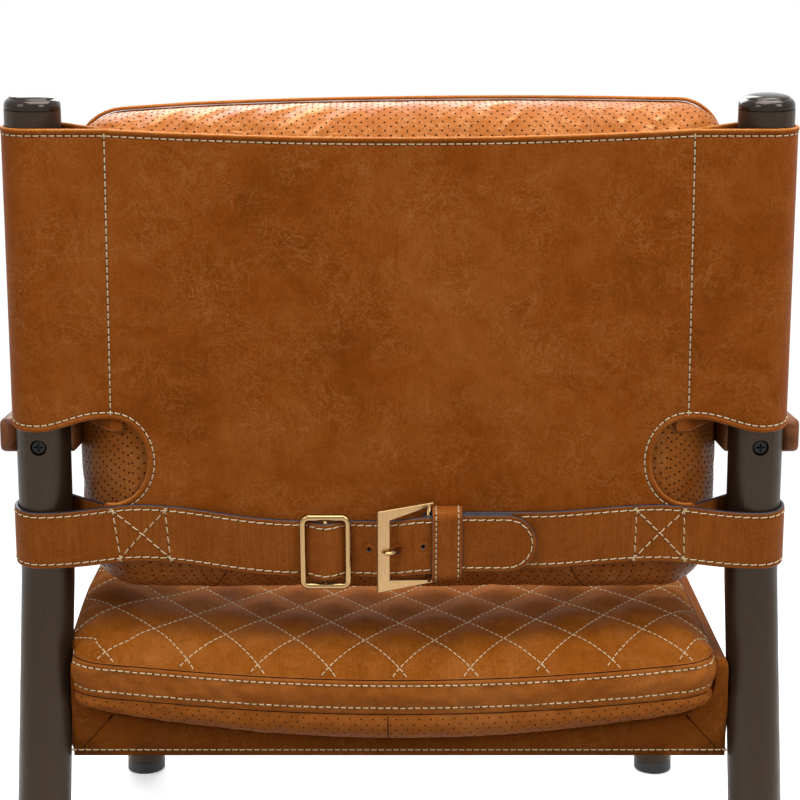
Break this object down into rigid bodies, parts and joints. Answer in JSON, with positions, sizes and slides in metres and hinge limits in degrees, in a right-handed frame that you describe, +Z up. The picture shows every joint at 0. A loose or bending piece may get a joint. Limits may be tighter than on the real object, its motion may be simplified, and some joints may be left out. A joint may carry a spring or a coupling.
{
  "type": "lounge armchair",
  "caption": "Low safari-style armchair: steel posts, wooden arms, leather sling back held by a buckled belt, and boxed cushions quilted in diamonds.",
  "frame": {"origin": "on the floor, under the middle of the chair's bounding box", "axes": "+Z up, the chair faces -Y, +X to the sitter's left"},
  "size_m": [0.7242, 0.7244, 0.8511],
  "materials": {
    "gunmetal": "dark bronze-black satin lacquer on steel tube",
    "steel": "plain mill finish",
    "black_steel": "blackened, satin",
    "brass": "pale gold, polished edges and lightly brushed faces",
    "wood": "red-brown stained, satin lacquer",
    "leather": "tan pull-up leather, satin, with cream saddle stitching",
    "glide": "black"
  },
  "bodies": {
    "chair": {"rear_post_left": "gunmetal", "rear_post_right": "gunmetal", "post_cap_left": "gunmetal", "post_cap_right": "gunmetal", "front_post_left": "gunmetal", "front_post_right": "gunmetal", "front_post_plug_left": "steel", "front_post_plug_right": "steel", "foot_rear_left": "glide", "foot_rear_right": "glide", "foot_front_left": "glide", "foot_front_right": "glide", "arm_left": "wood", "arm_right": "wood", "arm_rear_screw_left": "black_steel", "arm_rear_screw_right": "black_steel", "arm_front_bolt_left": "steel", "arm_front_bolt_right": "steel", "side_rail_left": "steel", "side_rail_right": "steel", "rear_rail": "steel", "front_rail": "steel", "seat_bolt_rear_left": "steel", "seat_bolt_rear_right": "steel", "seat_bolt_front_left": "steel", "seat_bolt_front_right": "steel", "seat_deck": "leather", "back_sling": "leather", "belt_left": "leather", "belt_right": "leather", "slider_ring": "brass"},
    "seat_cushion": {"seat_cushion": "leather"},
    "back_cushion": {"back_cushion": "leather"},
    "keeper": {"belt_keeper": "leather"},
    "buckle": {"buckle_frame": "brass"},
    "prong": {"buckle_prong": "brass"}
  },
  "joints": [
    {"name": "seat_cushion_slide", "type": "slide", "parent": "chair", "child": "seat_cushion", "axis": [0, -0.9936, 0.1132], "range_m": [0, 0.2]},
    {"name": "back_cushion_lift", "type": "slide", "parent": "chair", "child": "back_cushion", "axis": [0, 0.1616, 0.9869], "range_m": [0, 0.3]},
    {"name": "keeper_slide", "type": "slide", "parent": "chair", "child": "keeper", "axis": [-1, 0, 0], "range_m": [0, 0.055]},
    {"name": "buckle_hinge", "type": "hinge", "parent": "chair", "child": "buckle", "pos_m": [-0.026, 0.31176, 0.45244], "axis": [0, 0.1616, 0.9869], "range_deg": [-3, 0]},
    {"name": "prong_hinge", "type": "hinge", "parent": "chair", "child": "prong", "pos_m": [-0.026, 0.31157, 0.45125], "axis": [0, 0.1616, 0.9869], "range_deg": [-3, 0]}
  ],
  "couplings": [
    {"joint": "prong_hinge", "follows": "buckle_hinge", "ratio": 1}
  ]
}
